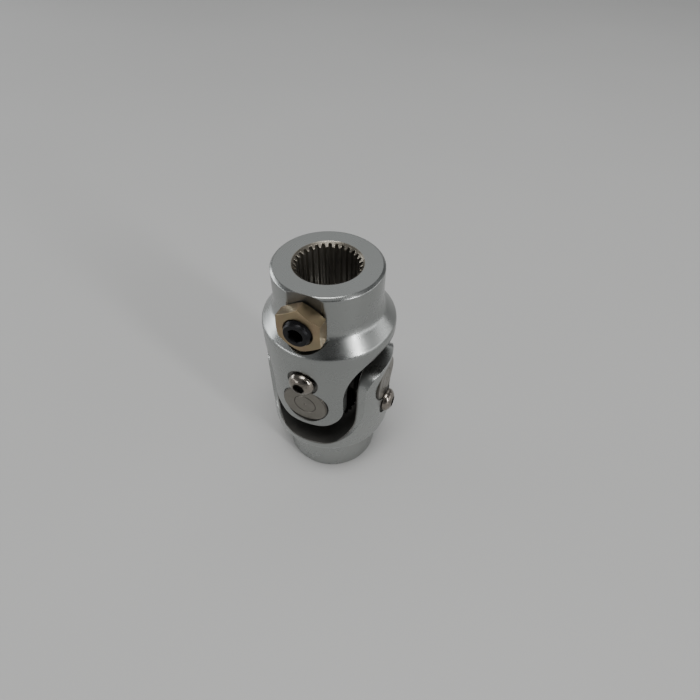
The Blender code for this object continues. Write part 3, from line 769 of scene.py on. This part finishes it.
def jam_nut(name, place):
    """Thin hex nut: both faces chamfered to a circle, countersunk plain hole.

    The dome's 190 sides keep its edges off the nut's six corners.
    """
    obj = mesh_object(name, prism(hexagon(NUT_AF, np.pi / 2), NUT_IN, NUT_OUT), place)
    face = NUT_AF / 2 - 0.18
    dome = [(0, NUT_OUT + 1), (face - 2.5, NUT_OUT + 1), (face + 2, NUT_OUT - 0.8),
            (face + 2, NUT_IN + 0.8), (face - 2.5, NUT_IN - 1), (0, NUT_IN - 1)]
    combine(obj, turned(dome, 190), place, "INTERSECT")
    combine(obj, prism(circle(SCREW_R + 0.06, 96), 0, FAR), place)
    mouth = SCREW_R + 0.42
    sink = [(0, NUT_OUT - mouth), (mouth + 1, NUT_OUT + 1), (0, NUT_OUT + 1)]
    combine(obj, turned(sink, 80), place)
    return shade(obj, 0.5)


def cross(name):
    """Cross: soft-edged block, two double-ended turned arms, a dish above and below."""
    side = BLOCK_HALF
    outline = round_corners([(-side, -side), (side, -side), (side, side), (-side, side)],
                            [2.6] * 4, 10)
    obj = mesh_object(name, prism(outline, -BLOCK_HIGH, BLOCK_HIGH), UPPER)
    half = [(0, ARM_END), (TRUNNION_R - 0.5, ARM_END), (TRUNNION_R, ARM_END - 0.5),
            (TRUNNION_R, 11.3), (TRUNNION_R + 0.3, 11.04), (6.2, 11.04), (6.55, 10.7),
            (6.6, side)]
    arms = np.vstack([half, np.array(half)[::-1] * [1, -1]])
    for turn in (ALONG_Y, ALONG_X):
        combine(obj, turned(arms, 96), UPPER @ turn, "UNION")
    dish = [(0, 5.0), (2.0, 5.2), (4.6, 6.6), (4.6, 9), (0, 9)]
    for way in (1, -1):
        combine(obj, turned(dish, 64), UPPER @ np.diag([way, 1, way, 1.0]))
    return shade(obj, 0.6)


def seal(name, place, axis):
    """Seal ring with two rounded lips."""
    inner = TRUNNION_R + 0.2
    points = [(inner, SEAL_LOW), (6.2, SEAL_LOW), (6.7, SEAL_LOW + 0.4), (6.2, SEAL_HIGH),
              (inner, SEAL_HIGH)]
    profile = round_corners(points, [0.1, 0.2, 0.25, 0.2, 0.1], 5)
    obj = mesh_object(name, turned(profile, 96), place)
    return shade(obj, 0.7, axis, (0, 0, JOINT))


def rollers(name, place):
    """Ring of needle rollers as a scalloped sleeve: r = mean +/- swell |sin(n u / 2)|."""
    u = np.linspace(0, 2 * np.pi, ROLLERS * 10, endpoint=False)
    swell = ROLLER_SWELL * np.sqrt(np.clip(1 - np.cos(u * ROLLERS / 2) ** 2, 0, 1))
    around = np.stack([np.cos(u), np.sin(u)], 1)
    outer = (ROLLER_OUT + swell)[:, None] * around
    inner = (ROLLER_IN - swell)[:, None] * around
    n = len(u)
    rows = [(outer, ROLLER_LOW), (outer, ROLLER_HIGH), (inner, ROLLER_HIGH),
            (inner, ROLLER_LOW)]
    points = np.vstack([np.c_[ring, np.full(n, z)] for ring, z in rows])
    i = np.arange(4)[:, None]
    j = np.arange(n)[None]
    quads = np.stack([i * n + j, i * n + (j + 1) % n, (i + 1) % 4 * n + (j + 1) % n,
                      (i + 1) % 4 * n + j], 2).reshape(-1, 4)
    obj = mesh_object(name, (points, [quads]), place)
    return shade(obj, 0.6)


def pad(name, place, axis):
    """Thrust pad: thin disc with a raised middle button and an eased rim."""
    low, mid, high = CUP_FACE - 2.23, CUP_FACE - 1.84, CUP_FACE - 1.78
    profile = np.vstack([[[0, high]], round_corners(
        [(2.4, high), (2.6, mid), (5.4, mid), (5.4, low), (0.1, low)],
        [0.1, 0.1, 0.12, 0.12, 0], 4), [[0, low]]])
    obj = mesh_object(name, turned(profile, 96), place)
    return shade(obj, 0.5, axis, (0, 0, JOINT))


# ---- dressing the frame --------------------------------------------------------------

def dress(obj, material, body, node):
    """Give a piece its finish, its body and the node it stands for."""
    obj.data.materials.clear()
    obj.data.materials.append(material)
    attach(obj, body)
    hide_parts(node)


# One chrome for both yokes in a shaded and a lit copy: the lower yoke's lighter tint is painted
# light.
upper_chrome_shaded = chromed_steel("upper_yoke_chrome_shaded", (0.318, 0.329, 0.322), "Y", 1.0)
lower_chrome_lit = chromed_steel("lower_yoke_chrome_lit", (0.360, 0.371, 0.363), "X", -1.0)
dress(yoke("upper_yoke_shape", UPPER), upper_chrome_shaded, "upper_fork", "upper_yoke")
dress(yoke("lower_yoke_shape", LOWER), lower_chrome_lit, "lower_fork", "lower_yoke")
dress(cross("cross_shape"), forged_black("cross_forged_black"), "cross",
      "cross_spider")

rubber = seal_rubber("seal_black_rubber")
plastic = moulded_pad("pad_cream_plastic")
for level, place, axis, about, way, ends in (
        ("upper", UPPER, (0, 1, 0), "Y", 1.0, (("front", -1), ("back", 1))),
        ("lower", LOWER, (1, 0, 0), "X", -1.0, (("left", -1), ("right", 1)))):
    fork = level + "_fork"
    screw_steel = bright_screw(f"{level}_keeper_bright_steel", about, way)
    cup_steel = satin_cup(f"{level}_cup_satin", about)
    roller_steel = ground_steel(f"{level}_roller_ground", about)
    for end, side in ends:
        tag = f"{level}_{end}"
        arm = place @ radial(side)
        dress(cup(f"cup_{tag}", arm, axis), cup_steel, fork, "bearing_cup_" + tag)
        dress(rollers(f"rollers_{tag}", arm), roller_steel, fork,
              "needle_rollers_" + tag)
        dress(pad(f"pad_{tag}", arm, axis), plastic, fork, "thrust_pad_" + tag)
        dress(seal(f"seal_ring_{tag}", arm, axis), rubber, "cross", "seal_" + tag)
        dress(keeper(f"keeper_{tag}", place @ radial(side, KEEPER_UP)), screw_steel, fork,
              "keeper_screw_" + tag)
    clamp = place @ radial(-1, SCREW_UP)
    dress(set_screw(f"{level}_set_screw_shape", clamp), black_oxide(f"{level}_set_screw_black"),
          level + "_set_screw", "set_screw_" + level)
    dress(jam_nut(f"{level}_jam_nut_shape", clamp), yellow_zinc(f"{level}_jam_nut_yellow_zinc"),
          level + "_jam_nut", "jam_nut_" + level)


# ---- floor, light and camera ---------------------------------------------------------

def floor_finish():
    """Pale matt table top with a very faint mottle."""
    work = Finish("pale_table")
    point, _, _, _ = work.object_point()
    cloud = work.noise(point, 4.0, 2.0)
    colour = work.blend(cloud, (0.45, 0.45, 0.445), (0.49, 0.49, 0.485))
    return work.set(Base_Color=colour, Metallic=0.0, Roughness=0.62 + (cloud - 0.5) * 0.1)


def slab(name, wide, tall, low, high):
    """Rectangular plate centred on Z."""
    x, y = wide / 2, tall / 2
    return mesh_object(name, prism([(-x, -y), (x, -y), (x, y), (-x, y)], low, high))


floor = slab("table_top", 3000, 3000, -8.0, -0.05)
floor.data.materials.append(floor_finish())

TURN = math.radians(21.885)      # the camera stands this far round from -Y
TILT = math.radians(46.238)
ROLL = math.radians(0.750)
STAND = (6.291, -105.583, 155.204)
SENSOR = 36
FOCUS = 472.33 / 700             # focal length over the sensor's width


def camera_frame(tilt, roll, spot):
    """Camera looking down by tilt and rolled at a spot, all turned about the shaft by TURN."""
    look = np.array([0, math.cos(tilt), -math.sin(tilt)])
    right = np.array([1.0, 0, 0])
    up = np.cross(right, look)
    across = math.cos(roll) * right + math.sin(roll) * up
    above = -math.sin(roll) * right + math.cos(roll) * up
    spin = np.array([[math.cos(TURN), -math.sin(TURN), 0],
                     [math.sin(TURN), math.cos(TURN), 0], [0, 0, 1]])
    return frame_of(spin @ across, spin @ above, spin @ -look, spin @ np.array(spot) * MM)


eye = bpy.data.cameras.new("viewpoint")
eye.lens = FOCUS * SENSOR
eye.sensor_width = SENSOR
eye.clip_start = 0.005
eye.clip_end = 20
camera = bpy.data.objects.new("viewpoint", eye)
bpy.context.scene.collection.objects.link(camera)
camera.matrix_world = Matrix(camera_frame(TILT, ROLL, STAND))
bpy.context.scene.camera = camera


def card_finish():
    """Dark felt of a light-blocking card."""
    work = Finish("dark_felt")
    point, _, _, _ = work.object_point()
    cloud = work.noise(point, 30.0, 3.0)
    colour = work.blend(cloud, (0.020, 0.020, 0.020), (0.035, 0.035, 0.035))
    return work.set(Base_Color=colour, Metallic=0.0, Roughness=0.85 + (cloud - 0.5) * 0.1)


def facing(turn, lift, distance):
    """Frame at a turn right of the camera, a lift above the table and a distance in metres.

    Its z points away from the joint and its place is in millimetres.
    """
    a = TURN + math.radians(turn)
    e = math.radians(lift)
    out = np.array([math.sin(a) * math.cos(e), -math.cos(a) * math.cos(e), math.sin(e)])
    side = np.array([math.cos(a), math.sin(a), 0])
    return frame_of(side, np.cross(out, side), out, out * distance / MM + [0, 0, JOINT])


def softbox(name, turn, lift, distance, wide, tall, power, colour=(1, 1, 1)):
    """Area light placed by `facing`, shining at the joint; sizes in metres."""
    data = bpy.data.lights.new(name, "AREA")
    data.shape = "RECTANGLE"
    data.size = wide
    data.size_y = tall
    data.energy = power
    data.color = colour
    lamp = bpy.data.objects.new(name, data)
    bpy.context.scene.collection.objects.link(lamp)
    m = facing(turn, lift, distance)
    m[:3, 3] *= MM
    lamp.matrix_world = Matrix(m)


card = slab("dark_card", 840, 500, 0, 4)
card.data.materials.append(card_finish())
carry(card, facing(12, 27, 1.0))
card.visible_camera = False

softbox("window_right", 47, 22, 1.2, 0.11, 0.60, 6.0)
softbox("window_left", -112, 7, 1.2, 0.80, 0.30, 4.6, (0.96, 0.98, 1.0))
softbox("low_glow_right", 84, 8, 1.2, 1.30, 0.26, 2.4)
softbox("low_glow_left", -62, 5, 1.2, 0.90, 0.09, 2.2)
softbox("ceiling", -8, 78, 1.4, 0.80, 0.60, 13.0, (1.0, 1.0, 0.99))
softbox("back_wall", 180, 45, 1.6, 2.4, 1.3, 5.0, (0.99, 1.0, 1.0))

world = bpy.data.worlds.new("soft_room")
bpy.context.scene.world = world
world.use_nodes = True
glow = world.node_tree.nodes["Background"]
glow.inputs["Color"].default_value = (0.80, 0.81, 0.82, 1)
glow.inputs["Strength"].default_value = 0.24
